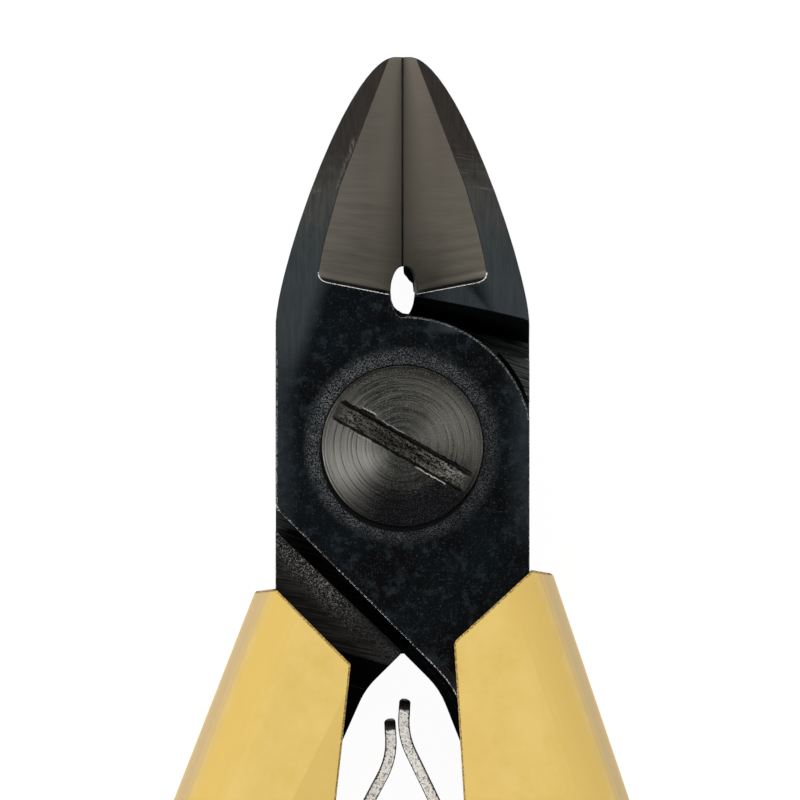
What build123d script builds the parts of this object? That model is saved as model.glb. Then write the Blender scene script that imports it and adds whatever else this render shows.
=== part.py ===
from build123d import *
import math
import os

# Side cutter with a lap joint: two forged halves turn on a large slotted screw, each half
# carries a moulded grip over its tang, and two leaf springs press the handles apart.
# Millimetres. X runs across the head, Y towards the jaw tip, Z up through the front face.
# The origin lies on the pivot axis, at the back face of the head.

# Head and jaws
head_width = 16.0
head_thickness = 8.0
jaw_reach = 24.57
shoulder_y = 7.6
shoulder_lead = 3.3
nose_lead = 2.97
tip_flat = 0.9
edge_gap = 0.06

# Ground faces of the jaws
edge_height = 1.2
edge_land = 0.3
edge_lean = 0.1
facet_slope = 1.2
facet_end_y = 9.4
facet_end_tilt = 11.0
facet_end_radius = 0.7
flush_slope = 0.35
back_taper = 0.06
back_taper_y = 10.0
bevel_corner = (4.0, 16.3)
bevel_fall_out = 0.50
bevel_fall_tip = 0.65
shoulder_fall_out = 0.46
shoulder_fall_tip = 0.46
relief_hole_width = 1.52
relief_hole_length = 3.24
relief_hole_y = 9.72
relief_hole_slant = (0.14, 0.24)
shoulder_blend = 8.0
shoulder_flats = 4

# Lap joint
lap_overhang = 0.2
lap_gap = 0.03
lap_clearance = 0.25
lap_edge_distance = 8.42
lap_corner_radius = 0.5
plate_edge_break = 0.08
trench_width = 0.77
trench_flare = 1.2
vertex_land = 0.12
recess_foot_y = 6.5
recess_foot_tilt = 11.0
recess_run = 1.53
step_foot_length = 1.6
step_foot_height = 0.6
step_foot_gap = 0.05
step_foot_clearance = 0.14

# Pivot screw
screw_head_diameter = 10.14
screw_head_height = 3.15
screw_stand_off = 0.35
screw_rim = 0.22
screw_journal_diameter = 7.4
screw_thread_diameter = 6.0
screw_end_chamfer = 0.4
screw_fit = 0.03
screw_thread_fit = 0.02
slot_width = 1.26
slot_depth = 1.3
slot_cutter_radius = 9.6
slot_angle = -29.6

# Tangs, drawn for the right-hand handle
side_end_y = -8.2
tang_bend = (2.34, -15.34)
tang_waist = (6.6, -26.2)
tang_seat_end = (14.6, -60.0)
tang_inner_end = (16.3, -88.0)
tang_outer_knee = (17.6, -42.0)
tang_outer_belly = (20.4, -68.0)
tang_outer_end = (19.6, -88.0)
tang_inner_radii = [5.0, 20.0, 60.0]
tang_outer_radii = [60.0, 60.0]
tang_bevel_depth = 1.3
tang_step_relief = 2.6
tang_plate_relief = 1.2
tang_ramp_run = 1.9
tang_ramp_start = (0.98, -13.77)
tang_ramp_tilt = 16.4
tang_plate_ramp_start = (4.0, -21.0)

# Setting of the two handles
right_turn = 0.0
left_turn = 2.6
right_slip = 0.0
left_slip = 1.45

# Grips
grip_wall = 1.5
socket_fit = 0.05
grip_mouth_outer = (head_width / 2 + 1.48, -8.06)
grip_mouth_side = (head_width / 2 + 0.16, -7.84)
grip_mouth_inner = (3.24, -12.35)
grip_throat = (3.87, -22.3)
grip_outer_splay = 18.7
grip_outer_straight = 22.0
grip_outer_belly = (23.0, -70.0)
grip_outer_end = (21.4, -96.0)
grip_inner_flare = (6.9, -38.0)
grip_inner_belly = (13.4, -70.0)
grip_inner_end = (12.6, -96.0)
grip_outer_radius = 4.0
crease_start = (2.5, -12.0)
crease_throat = (7.09, -22.3)
crease_middle = (16.0, -62.0)
crease_end = (11.5, -91.0)
crease_drop = 0.75
crease_width = 3.2

# Leaf springs and their rivets
leaf_thickness = 0.58
leaf_width = 4.4
leaf_seat_gap = 0.02
leaf_tail = 14.0
leaf_tip_radius = 1.2
right_leaf_tip = (0.09, -15.95)
right_leaf_knee = (-0.05, -18.3)
right_leaf_slope = 25.8
left_leaf_tip = (0.74, -17.2)
left_leaf_knee = (0.6, -19.7)
left_leaf_slope = 27.8
leaf_knee_radius = 4.6
leaf_heel_radius = 12.0
pocket_side_gap = 0.4
pocket_end_gap = 1.0
rivet_setback = 7.0
rivet_shank_diameter = 1.8
rivet_head_diameter = 3.2
rivet_head_height = 0.7
rivet_grip = 3.2
rivet_fit = 0.02

# Values worked out from the sizes above, and how far the cutting shapes run past the pieces
half_width = head_width / 2
mid_z = head_thickness / 2
plate_z = mid_z + lap_gap / 2
lap_radius = half_width + lap_overhang
step_distance = lap_edge_distance + trench_width
vertex_y = -step_distance * math.sqrt(2)
blade_x = edge_gap / 2
reach = 200.0
grip_reach = head_width
overrun = 1.0


def swung(point, turn, slip=0.0):
    """A handle point, swung outwards about the tang's inner bend and slid down the handle."""
    bend = Vector(*tang_bend)
    throat_lean = Vector(*grip_throat) - Vector(*grip_mouth_inner)
    moved = Vector(*point) + throat_lean.normalized() * slip - bend
    return moved.rotate(Axis.Z, turn) + bend


def turned_over(part):
    """A piece of the front half's side, turned over to the rear half's side."""
    return part.rotate(Axis((0, 0, mid_z), (0, 1, 0)), 180)


def tang(turn, slip, allowance):
    """The tang that runs down inside a grip; the allowance grows it into the grip's socket."""
    low, high = -allowance, head_thickness + allowance
    side, side_end = half_width, side_end_y - slip
    step_rise = math.tan(math.radians(45 - trench_flare))
    with BuildPart() as body:
        with BuildSketch(Plane.XY.offset(low)):
            with BuildLine():
                FilletPolyline(
                    (vertex_land, vertex_y - vertex_land),
                    swung(tang_bend, turn),
                    swung(tang_waist, turn),
                    swung(tang_seat_end, turn),
                    swung(tang_inner_end, turn),
                    radius=tang_inner_radii,
                )
                Line(swung(tang_inner_end, turn), swung(tang_outer_end, turn))
                FilletPolyline(
                    swung(tang_outer_end, turn),
                    swung(tang_outer_belly, turn),
                    swung(tang_outer_knee, turn),
                    (side, side_end),
                    radius=tang_outer_radii,
                )
                Polyline(
                    (side, side_end),
                    (side, vertex_y + side * step_rise),
                    (vertex_land, vertex_y + vertex_land * step_rise),
                    (vertex_land, vertex_y - vertex_land),
                )
            make_face()
            if allowance:
                offset(amount=allowance, kind=Kind.INTERSECTION)
        extrude(amount=high - low)
        # The inner edge is bevelled on the plate side, from the vertex down to the waist.
        top = body.faces().sort_by(Axis.Z)[-1]
        bend = Vector(*tang_bend) + Vector(0, 0, high)
        inner = top.edges().filter_by(
            lambda e: (e @ 0.5 - bend).length < head_width / 2
            and (e @ 0.5).X + (e @ 0.5).Y < vertex_y + vertex_land / 2
        )
        chamfer(inner, length=tang_bevel_depth, length2=trench_width, reference=top)
        # The tang thins towards the handle, on both faces.
        ramps = (
            (low, tang_step_relief, Vector(*tang_ramp_start)),
            (high, -tang_plate_relief, swung(tang_plate_ramp_start, turn)),
        )
        for face_z, relief, start in ramps:
            down = Vector(0, -1).rotate(Axis.Z, tang_ramp_tilt)
            across = Plane(
                origin=start + Vector(0, 0, face_z),
                x_dir=down,
                z_dir=down.cross(Vector(0, 0, 1)),
            )
            with BuildSketch(across):
                Polygon(
                    (0, 0),
                    (tang_ramp_run, relief),
                    (reach, relief),
                    (reach, -relief),
                    (0, -relief),
                    align=None,
                )
            extrude(amount=reach / 2, both=True, mode=Mode.SUBTRACT)
    return body.part


def half_blank(turn, slip):
    """A forged half before grinding: jaw at the left, plate at the front, tang at the right."""
    with BuildPart() as blank:
        # Jaw, through the full thickness
        with BuildSketch():
            with BuildLine():
                Polyline(
                    (-half_width, shoulder_y),
                    (-half_width, 0),
                    (-blade_x, 0),
                    (-blade_x, relief_hole_y),
                    (2 * edge_lean, relief_hole_y),
                    (2 * edge_lean, jaw_reach),
                    (-tip_flat / 2, jaw_reach),
                )
                Bezier(
                    (-tip_flat / 2, jaw_reach),
                    (-tip_flat / 2 - nose_lead, jaw_reach),
                    (-half_width, shoulder_y + shoulder_lead),
                    (-half_width, shoulder_y),
                )
            make_face()
        extrude(amount=head_thickness)
        # Recess behind the jaw, in which the other half's plate turns
        foot = Vector(-half_width, recess_foot_y)
        foot_rise = math.tan(math.radians(recess_foot_tilt))
        with BuildSketch():
            Circle(lap_radius + lap_clearance)
            Polygon(
                (-reach, foot.Y - foot_rise * (reach - half_width)),
                (reach, foot.Y + foot_rise * (reach + half_width)),
                (reach, -overrun),
                (-reach, -overrun),
                align=None,
            )
        extrude(amount=plate_z, mode=Mode.SUBTRACT)
        along = Vector(1, 0).rotate(Axis.Z, recess_foot_tilt)
        wall_plane = Plane(
            origin=foot + Vector(0, 0, plate_z),
            x_dir=along.rotate(Axis.Z, 90),
            z_dir=along,
        )
        with BuildSketch(wall_plane):
            Polygon(
                (-overrun, 0),
                (0, 0),
                (recess_run, -plate_z),
                (-overrun, -plate_z),
                align=None,
            )
        extrude(amount=reach, both=True, mode=Mode.SUBTRACT)
        # Lap plate
        with BuildSketch(Plane.XY.offset(plate_z)):
            slant = -lap_edge_distance * math.sqrt(2)
            with BuildLine():
                FilletPolyline(
                    (-half_width, shoulder_y),
                    (-half_width, slant + half_width),
                    (trench_width, slant - trench_width),
                    radius=lap_corner_radius,
                )
                Polyline(
                    (trench_width, slant - trench_width),
                    (half_width, slant - trench_width),
                    (half_width, math.sqrt(lap_radius**2 - half_width**2)),
                )
                ThreePointArc(
                    (half_width, math.sqrt(lap_radius**2 - half_width**2)),
                    Vector(0, lap_radius).rotate(Axis.Z, -30),
                    (-blade_x, math.sqrt(lap_radius**2 - blade_x**2)),
                )
                Polyline(
                    (-blade_x, math.sqrt(lap_radius**2 - blade_x**2)),
                    (-blade_x, shoulder_y),
                    (-half_width, shoulder_y),
                )
            make_face()
        extrude(amount=head_thickness - plate_z)
        rims = blank.faces().sort_by(Axis.Z)[-1].edges()
        slanting = rims.filter_by(GeomType.LINE).filter_by(
            lambda e: abs((e % 0.5).X + (e % 0.5).Y) < 1e-6
        )
        round_rim = rims.filter_by(lambda e: e.geom_type == GeomType.CIRCLE and e.radius > 1)
        chamfer(slanting + round_rim, plate_edge_break)
        add(tang(turn, slip, 0.0))
        # A low foot under the step closes the corner where the two steps meet.
        step_run = Vector(1, math.tan(math.radians(45 - trench_flare))).normalized()
        step_out = step_run.rotate(Axis.Z, 90)
        heel = Vector(vertex_land, vertex_y + vertex_land)
        wide = step_out * (trench_width - step_foot_clearance)
        with BuildSketch(Plane.XY.offset(mid_z - step_foot_gap - step_foot_height)):
            Polygon(
                (0, vertex_y - vertex_land),
                (2 * vertex_land, vertex_y - vertex_land),
                heel + step_run * step_foot_length - step_out * vertex_land,
                heel + step_run * step_foot_length + wide,
                heel + wide,
                (0, vertex_y + 2 * vertex_land),
                align=None,
            )
        extrude(amount=step_foot_height)
    return blank.part


def jaw_grinding(side):
    """What is ground off a jaw: the front facet and the narrow flush facet at the back."""
    tilt = side * facet_end_tilt
    run = math.cos(math.radians(facet_end_tilt))
    end_plane = Plane(
        origin=(0, facet_end_y, 0),
        x_dir=Vector(side, 0).rotate(Axis.Z, tilt),
        z_dir=Vector(0, -side).rotate(Axis.Z, tilt),
    )
    wide = head_width
    with BuildPart() as cutter:
        with BuildSketch(end_plane):
            Polygon(
                (0, edge_height),
                (wide, edge_height + facet_slope * wide * run),
                (0, edge_height + facet_slope * wide * run),
                align=None,
            )
        extrude(amount=jaw_reach, dir=(0, 1, 0))
        front_edge = cutter.edges().filter_by(
            lambda e: abs((e @ 0.5).X) > overrun and (e @ 0.5).Y < facet_end_y + half_width
        )
        fillet(front_edge.sort_by(Axis.Z)[0], facet_end_radius)
        land_foot = edge_height - edge_land
        with BuildSketch(end_plane):
            Polygon(
                (0, land_foot),
                (land_foot / flush_slope / run, 0),
                (land_foot / flush_slope / run, -overrun),
                (0, -overrun),
                align=None,
            )
        extrude(amount=jaw_reach, dir=(0, 1, 0))
        # The two lands lean the same way, so that the closed edges leave no open slit.
        edge = side * blade_x
        with BuildSketch(Plane(origin=(0, relief_hole_y, 0), x_dir=(1, 0, 0), z_dir=(0, -1, 0))):
            Polygon(
                (edge, head_thickness + overrun),
                (edge, edge_height),
                (edge + edge_lean, land_foot),
                (max(side, 0) * (edge + edge_lean), land_foot),
                (max(side, 0) * (edge + edge_lean), -overrun),
                (-side * overrun, -overrun),
                (-side * overrun, head_thickness + overrun),
                align=None,
            )
        extrude(amount=-jaw_reach)
    return cutter.part


def ground(blank, side):
    """A blank with its jaw ground: outer bevel, shoulder, back taper, facets, relief hole."""
    corner_x, corner_y = bevel_corner
    corner = Vector(side * corner_x, corner_y, edge_height + facet_slope * corner_x)
    with BuildPart() as half:
        add(blank)
        falls = (
            (bevel_fall_out, bevel_fall_tip),
            (shoulder_fall_out, shoulder_fall_tip),
        )
        for fall_out, fall_tip in falls:
            face = Plane(origin=corner, z_dir=(side * fall_out, fall_tip, 1))
            split(bisect_by=face, keep=Keep.BOTTOM)
        # The shoulder rolls into the plate over narrow flats that touch one round.
        out = Vector(side * shoulder_fall_out, shoulder_fall_tip)
        steepest = math.degrees(math.atan(out.length))
        above = head_thickness - corner.Z
        ridge = corner + Vector(0, 0, above) - out * (above / out.length**2)
        start = ridge - out.normalized() * shoulder_blend * math.tan(math.radians(steepest / 2))
        for step in range(1, shoulder_flats + 1):
            tilt = math.radians(steepest * step / (shoulder_flats + 1))
            lean = out.normalized() * math.sin(tilt)
            normal = Vector(lean.X, lean.Y, math.cos(tilt))
            touch = start - Vector(0, 0, shoulder_blend) + normal * shoulder_blend
            split(bisect_by=Plane(origin=touch, z_dir=normal), keep=Keep.BOTTOM)
        back = Plane(origin=(0, back_taper_y, 0), z_dir=(0, -back_taper, 1))
        split(bisect_by=back, keep=Keep.TOP)
        add(jaw_grinding(side), mode=Mode.SUBTRACT)
        # The relief hole: its lower half goes straight through, and its upper half is filed
        # slanting on the right-hand jaw.
        hole = Vector(0, relief_hole_y)
        with BuildSketch():
            with Locations(hole):
                Ellipse(relief_hole_width / 2, relief_hole_length / 2)
                Rectangle(
                    relief_hole_width,
                    relief_hole_length,
                    align=(Align.CENTER, Align.MIN),
                    mode=Mode.SUBTRACT,
                )
        extrude(amount=head_thickness, mode=Mode.SUBTRACT)
        slant = Vector(*relief_hole_slant, 0) * max(side, 0)
        way = slant + Vector(0, 0, 1)
        with BuildSketch():
            with Locations(hole - slant * edge_height):
                Ellipse(relief_hole_width / 2, relief_hole_length / 2)
        extrude(amount=mid_z * way.length, dir=way, mode=Mode.SUBTRACT)
    return half.part


def seat_line(turn):
    """The straight stretch of the tang's inner side that the spring's tail lies on."""
    top = swung(tang_waist, turn)
    down = (swung(tang_seat_end, turn) - top).normalized()
    return top, down, down.rotate(Axis.Z, -90)


def leaf_points(turn, tip, knee, slope):
    """Centre line of a leaf spring: tip, knee, heel on the tang, and end of the tail."""
    top, down, inward = seat_line(turn)
    start = top + inward * (leaf_thickness / 2 + leaf_seat_gap)
    lean = Vector(0, -1).rotate(Axis.Z, slope)
    offset_to_line = (Vector(*knee) - start).dot(inward)
    heel = Vector(*knee) + lean * (offset_to_line / -lean.dot(inward))
    return Vector(*tip), Vector(*knee), heel, heel + down * leaf_tail


def rivet_plane(turn, points):
    """Plane of a rivet: on the tang's inner side, at the spring's tail, facing inwards."""
    top, down, inward = seat_line(turn)
    along = (points[2] - top).dot(down) + rivet_setback
    return Plane(origin=top + down * along + Vector(0, 0, mid_z), x_dir=down, z_dir=inward)


def leaf_spring(turn, points):
    """A leaf spring: a flat strip seen on edge, with rounded tip corners and a rivet hole."""
    with BuildPart() as leaf:
        with BuildSketch(Plane.XY.offset(mid_z - leaf_width / 2)):
            with BuildLine():
                FilletPolyline(*points, radius=[leaf_knee_radius, leaf_heel_radius])
            trace(line_width=leaf_thickness)
        extrude(amount=leaf_width)
        tip_edges = leaf.edges().filter_by(
            lambda e: (e @ 0.5 - points[0]).Y > -leaf_thickness and e.length < leaf_thickness * 1.2
        )
        fillet(tip_edges.filter_by(Axis.Z, reverse=True), leaf_tip_radius)
        with Locations(rivet_plane(turn, points)):
            Hole(rivet_shank_diameter / 2 + rivet_fit, depth=leaf_thickness * 4)
    return leaf.part


def rivet(plane):
    """A round-head rivet that holds a spring's tail on its tang."""
    seat = leaf_thickness + 2 * leaf_seat_gap
    shank, head = rivet_shank_diameter / 2, rivet_head_diameter / 2
    dome_radius = (head**2 + rivet_head_height**2) / (2 * rivet_head_height)
    dome_angle = math.degrees(math.asin(head / dome_radius))
    with BuildPart() as pin:
        with BuildSketch(Plane(origin=plane.origin, x_dir=plane.x_dir, z_dir=-plane.y_dir)):
            with BuildLine():
                dome = JernArc((0, seat + rivet_head_height), (1, 0), dome_radius, -dome_angle)
                Polyline(
                    dome @ 0,
                    (0, -rivet_grip),
                    (shank, -rivet_grip),
                    (shank, seat),
                    dome @ 1,
                )
            make_face()
        revolve(axis=Axis(plane.origin, plane.z_dir))
    return pin.part


def grip(turn, slip, spring_points):
    """A moulded grip over the right-hand tang, open where the tang and the spring leave it."""
    low, high = -grip_wall, head_thickness + grip_wall
    splay = Vector(0, -1).rotate(Axis.Z, grip_outer_splay + turn)
    mouth_outer = swung(grip_mouth_outer, turn, slip)
    mouth_side = swung(grip_mouth_side, turn, slip)
    mouth_inner = swung(grip_mouth_inner, turn, slip)
    throat = swung(grip_throat, turn, slip)
    inner_end = swung(grip_inner_end, turn, slip)
    lean = (throat - mouth_inner).normalized()
    inner_top = mouth_inner - lean * half_width
    outer_top = mouth_outer - splay * half_width
    with BuildPart() as body:
        with BuildSketch(Plane.XY.offset(low)):
            with BuildLine():
                Polyline(outer_top, inner_top, throat)
                start, tangent = throat, lean
                for point in (grip_inner_flare, grip_inner_belly, grip_inner_end):
                    arc = TangentArc(start, swung(point, turn, slip), tangent=tangent)
                    start, tangent = arc @ 1, arc % 1
                outer = [Line(outer_top, mouth_outer + splay * grip_outer_straight)]
                for point in (grip_outer_belly, grip_outer_end):
                    outer.append(
                        TangentArc(outer[-1] @ 1, swung(point, turn, slip), tangent=outer[-1] % 1)
                    )
                outer.append(TangentArc(outer[-1] @ 1, inner_end, tangent=outer[-1] % 1))
            make_face()
        extrude(amount=high - low)
        middles = [tuple(piece @ 0.5)[:2] for piece in outer]
        rims = body.edges().filter_by(Plane.XY)
        rounded = rims.filter_by(
            lambda e: min(math.dist(tuple(e @ 0.5)[:2], middle) for middle in middles) < 1e-3
        )
        fillet(rounded, grip_outer_radius)
        # The mouth is cut slanting, with a short square shoulder on the outer side.
        with BuildSketch(Plane.XY.offset(low)):
            Polygon(
                mouth_side + (mouth_inner - mouth_side).normalized() * grip_reach,
                mouth_side,
                mouth_side + (mouth_outer - mouth_side).normalized() * grip_reach,
                (grip_reach, grip_reach),
                (-grip_reach, grip_reach),
                align=None,
            )
        extrude(amount=high - low, mode=Mode.SUBTRACT)
        # A thumb facet along the inner edge of both faces widens from the mouth to the throat
        stations = (crease_start, crease_throat, crease_middle, crease_end)
        for face_z, way in ((high, 1), (low, -1)):
            for station in stations:
                edge = swung(station, turn, slip) + Vector(0, 0, face_z)
                with BuildSketch(Plane(origin=edge, x_dir=(1, 0, 0), z_dir=(0, -1, 0))):
                    Polygon(
                        (0, 0),
                        (-grip_reach, -way * crease_drop / crease_width * grip_reach),
                        (-grip_reach, way),
                        (0, way),
                        align=None,
                    )
            loft(ruled=True, mode=Mode.SUBTRACT)
        # Socket for the tang
        add(tang(turn, slip, socket_fit), mode=Mode.SUBTRACT)
        # Pocket for the spring
        top, down, inward = seat_line(turn)
        tail_end = spring_points[3] + down * pocket_end_gap - inward * leaf_thickness
        pocket_width = leaf_width + 2 * pocket_side_gap
        with BuildSketch(Plane.XY.offset(mid_z - pocket_width / 2)):
            Polygon(
                top,
                tail_end,
                tail_end + inward * half_width,
                top + inward * half_width,
                align=None,
            )
        extrude(amount=pocket_width, mode=Mode.SUBTRACT)
    return body.part


def pivot_screw():
    """The slotted pivot screw: cheese head, plain journal for the front half, threaded end."""
    top = head_thickness + screw_stand_off
    under_head = top - screw_head_height
    journal_end = mid_z
    head, journal, thread = (
        screw_head_diameter / 2,
        screw_journal_diameter / 2,
        screw_thread_diameter / 2,
    )
    with BuildPart() as screw:
        with BuildSketch(Plane.XZ):
            Polygon(
                (0, 0),
                (thread - screw_end_chamfer, 0),
                (thread, screw_end_chamfer),
                (thread, journal_end),
                (journal, journal_end),
                (journal, under_head),
                (head, under_head),
                (head, top - screw_rim),
                (head - screw_rim, top),
                (0, top),
                align=None,
            )
        revolve(axis=Axis.Z)
        # The slot is left by a disc cutter, so its floor rises to the rim at both ends.
        slot_centre = Vector(0, 0, top - slot_depth + slot_cutter_radius)
        slot_side = Vector(0, 1).rotate(Axis.Z, slot_angle)
        with BuildSketch(Plane(origin=slot_centre, x_dir=(0, 0, 1), z_dir=slot_side)):
            Circle(slot_cutter_radius)
        extrude(amount=slot_width / 2, both=True, mode=Mode.SUBTRACT)
    return screw.part


def save(part, name):
    """Labels a finished piece and writes it to its own file."""
    part.label = name
    export_step(part, f"parts/{name}.step")


os.makedirs("parts", exist_ok=True)

right_leaf = leaf_points(right_turn, right_leaf_tip, right_leaf_knee, right_leaf_slope)
left_leaf = leaf_points(left_turn, left_leaf_tip, left_leaf_knee, left_leaf_slope)
right_rivet_plane = rivet_plane(right_turn, right_leaf)
left_rivet_plane = rivet_plane(left_turn, left_leaf)

with BuildPart() as front_half:
    add(ground(half_blank(right_turn, right_slip), -1))
    with Locations((0, 0, head_thickness)):
        CounterBoreHole(
            screw_journal_diameter / 2 + screw_fit,
            screw_head_diameter / 2 + screw_fit,
            screw_head_height - screw_stand_off + screw_fit,
        )
    with Locations(right_rivet_plane):
        Hole(rivet_shank_diameter / 2 + rivet_fit, depth=rivet_grip + rivet_fit)
save(front_half.part, "front_half")

with BuildPart() as rear_blank:
    add(half_blank(left_turn, left_slip))
    with Locations(left_rivet_plane):
        Hole(rivet_shank_diameter / 2 + rivet_fit, depth=rivet_grip + rivet_fit)

with BuildPart() as rear_half:
    add(ground(turned_over(rear_blank.part), 1))
    Hole(screw_thread_diameter / 2 + screw_thread_fit)
save(rear_half.part, "rear_half")

with BuildPart() as joint_screw:
    add(pivot_screw())
save(joint_screw.part, "joint_screw")

with BuildPart() as right_grip:
    add(grip(right_turn, right_slip, right_leaf))
save(right_grip.part, "right_grip")

with BuildPart() as left_grip:
    add(turned_over(grip(left_turn, left_slip, left_leaf)))
save(left_grip.part, "left_grip")

with BuildPart() as right_leaf_spring:
    add(leaf_spring(right_turn, right_leaf))
save(right_leaf_spring.part, "right_leaf_spring")

with BuildPart() as left_leaf_spring:
    add(turned_over(leaf_spring(left_turn, left_leaf)))
save(left_leaf_spring.part, "left_leaf_spring")

with BuildPart() as right_spring_rivet:
    add(rivet(right_rivet_plane))
save(right_spring_rivet.part, "right_spring_rivet")

with BuildPart() as left_spring_rivet:
    add(turned_over(rivet(left_rivet_plane)))
save(left_spring_rivet.part, "left_spring_rivet")
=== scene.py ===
import math
from types import SimpleNamespace

import bmesh
import bpy
import numpy as np
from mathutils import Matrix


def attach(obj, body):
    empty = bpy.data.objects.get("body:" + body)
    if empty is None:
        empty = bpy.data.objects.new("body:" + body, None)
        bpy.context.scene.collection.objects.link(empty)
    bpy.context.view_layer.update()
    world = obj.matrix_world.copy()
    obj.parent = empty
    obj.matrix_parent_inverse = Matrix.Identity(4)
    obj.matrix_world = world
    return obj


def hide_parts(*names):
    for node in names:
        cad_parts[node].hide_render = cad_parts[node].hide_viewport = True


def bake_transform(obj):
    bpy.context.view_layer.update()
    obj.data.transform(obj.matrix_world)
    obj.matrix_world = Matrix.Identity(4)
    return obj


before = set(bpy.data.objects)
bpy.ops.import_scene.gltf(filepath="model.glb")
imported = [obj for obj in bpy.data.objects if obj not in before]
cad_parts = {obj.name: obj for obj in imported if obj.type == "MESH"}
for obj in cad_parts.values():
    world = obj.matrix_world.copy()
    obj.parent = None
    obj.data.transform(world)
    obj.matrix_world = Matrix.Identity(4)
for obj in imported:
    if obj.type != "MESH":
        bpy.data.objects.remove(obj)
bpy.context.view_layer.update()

# Sizes are in millimetres in the model's frame: X across the head, Y to the jaw tip,
# Z up through the front face, with the origin on the pivot axis at the back of the head.
MM = 0.001

# Camera, floor and lamps
VIEW_CENTRE = (-0.16, 2.90)
VIEW_WIDTH = 50.4
VIEW_DISTANCE = 2200.0
FLOOR_LEVEL = -1.5
FLOOR_HALF = 3000.0
LAMP_DISTANCE = 600.0
# Azimuth and height in degrees, width in metres and power in watts of each lamp
LAMPS = {
    "right_box": (28, 38, 0.34, 1.35),
    "left_box": (197, 38, 0.34, 1.95),
    "upper_box": (108, 42, 0.34, 0.95),
    "lower_box": (290, 45, 0.30, 0.55),
}

# Head, with the widths of the worn edges and the least angle in degrees that has one
PLATE_TOP = 8.0
MID_Z = 4.0
HALF_EDGE = 0.045
GRIP_EDGE = 0.13
EDGE_ANGLE = 28

# Pivot screw, with its body's corners as radius and height
SCREW_RADIUS = 5.07
SCREW_TOP = 8.35
SCREW_PROFILE = [(5.07, 5.2), (3.7, 5.2), (3.7, 4.0), (3.0, 4.0), (3.0, 0.4), (2.6, 0.0), (0.0, 0.0)]
SCREW_CROWN = 0.004
SCREW_RIM = 0.22
RIM_FALL = 0.12
LIP_ROOM = 0.02

# Turning marks on the screw's face
MARKS_REACH = 6.0
RING_PITCH = 0.055
RING_DEPTH = 0.007
GROOVE_PITCH = 0.235
GROOVE_DEPTH = 0.006
DEEP_LINES = (4.93, 4.32, 3.90, 3.46, 3.21, 2.90, 2.31)
DEEP_LINE_DEPTH = 0.026
DEEP_LINE_WIDTH = 0.035

# Slot cut by a disc, and its torn lips: edge, middle, half length and share of height
SLOT_HALF = 0.63
SLOT_DEPTH = 1.4
SLOT_CUTTER = 9.6
SLOT_ANGLE = math.radians(-29.6)
SLOT_REACH = 4.75
LIP_HEIGHT = 0.10
LIP_REACH = 0.09
LIPS = [(1, -2.7, 0.42, 0.5), (-1, -1.9, 0.75, 0.35), (-1, 2.95, 0.40, 0.30)]

# Pitted collar that the screw head has pressed into the plate
COLLAR_INNER = 5.14
COLLAR_OUTER = 6.2
COLLAR_RISE = 0.012
COLLAR_SUNK = 0.06

# Grease in the corner where the two steps meet
GREASE_Y = -12.19
GREASE_BASE = 4.66
GREASE_HEIGHT = 0.10
GREASE_LENGTH = 0.70
GREASE_WIDTH = 0.38

# Painted shade in the relief hole, as dark pieces: the hole's wall as an ellipse, and for the
# shade on the right jaw and on the plate, the outline that it leaves open, its lower and its upper level
HOLE_CENTRE = (0.0, 9.72)
HOLE_HALVES = (0.76, 1.62)
SHADE_BEHIND = 0.08
JAW_SHADE = [(0.05, 11.25), (0.08, 10.86), (0.36, 10.54), (0.63, 10.24), (0.74, 9.80)]
PLATE_SHADE = [(-0.73, 9.25), (-0.63, 8.98), (-0.50, 8.76), (-0.32, 8.56), (-0.06, 8.42)]
PLATE_SHADE += [(0.18, 8.33), (0.42, 8.33)]
HOLE_SHADE = {"jaw": (JAW_SHADE, 0.25, 1.1), "plate": (PLATE_SHADE, 4.3, 7.2)}

# Leaf springs: tip, knee, heel and tail end of each, and the radii at knee and heel
LEAF_THICKNESS = 0.58
LEAF_WIDTH = 4.4
LEAF_CORNER = 0.07
LEAF_RADII = (4.6, 12.0)
LEAF_TIP_RADIUS = 1.2
LEAF_ROUTES = {
    "right": [(0.09, -15.95), (-0.05, -18.3), (8.692, -36.383), (11.916, -50.006)],
    "left": [(-0.74, -17.2), (-0.60, -19.7), (-10.119, -37.755), (-13.958, -51.218)],
}
LEAF_STEP = 0.1
# Each free end is thicker on the side away from the other leaf, full at first and then fading
LEAF_SWELL = 0.14
SWELL_FULL = 6.8
SWELL_FADE = 4.0
# Length of the rounded nose and radius of its arc
NOSE = 0.24
NOSE_RADIUS = 0.26


# Shapes


def ease(share):
    """Eases a share from 0 to 1, level at both ends."""
    share = np.clip(share, 0, 1)
    return share * share * (3 - 2 * share)


def hills(x, y, size, seed):
    """Smooth random heights from -1 to 1: random corners of squares, eased across each square."""
    corner = np.random.default_rng(seed).uniform(-1, 1, (64, 64))
    u, v = x / size, y / size
    i, j = np.floor(u).astype(int), np.floor(v).astype(int)
    a, b = ease(u - i), ease(v - j)
    low = corner[i % 64, j % 64] * (1 - a) + corner[(i + 1) % 64, j % 64] * a
    high = corner[i % 64, (j + 1) % 64] * (1 - a) + corner[(i + 1) % 64, (j + 1) % 64] * a
    return low * (1 - b) + high * b


def lengths(line):
    """Length along a line of points, from its first point to each."""
    return np.concatenate([[0], np.cumsum(np.linalg.norm(np.diff(line, axis=0), axis=1))])


def points_at(line, at):
    """The points of a line at given lengths along it."""
    length = lengths(line)
    return np.stack([np.interp(at, length, line[:, k]) for k in (0, 1)], axis=-1)


def grid_faces(rows, columns, start):
    """Corner numbers of the four-sided faces of a grid of points."""
    corner = np.arange(rows * columns).reshape(rows, columns)[:-1, :-1].ravel() + start
    return np.stack([corner, corner + 1, corner + columns + 1, corner + columns], axis=1)


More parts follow.
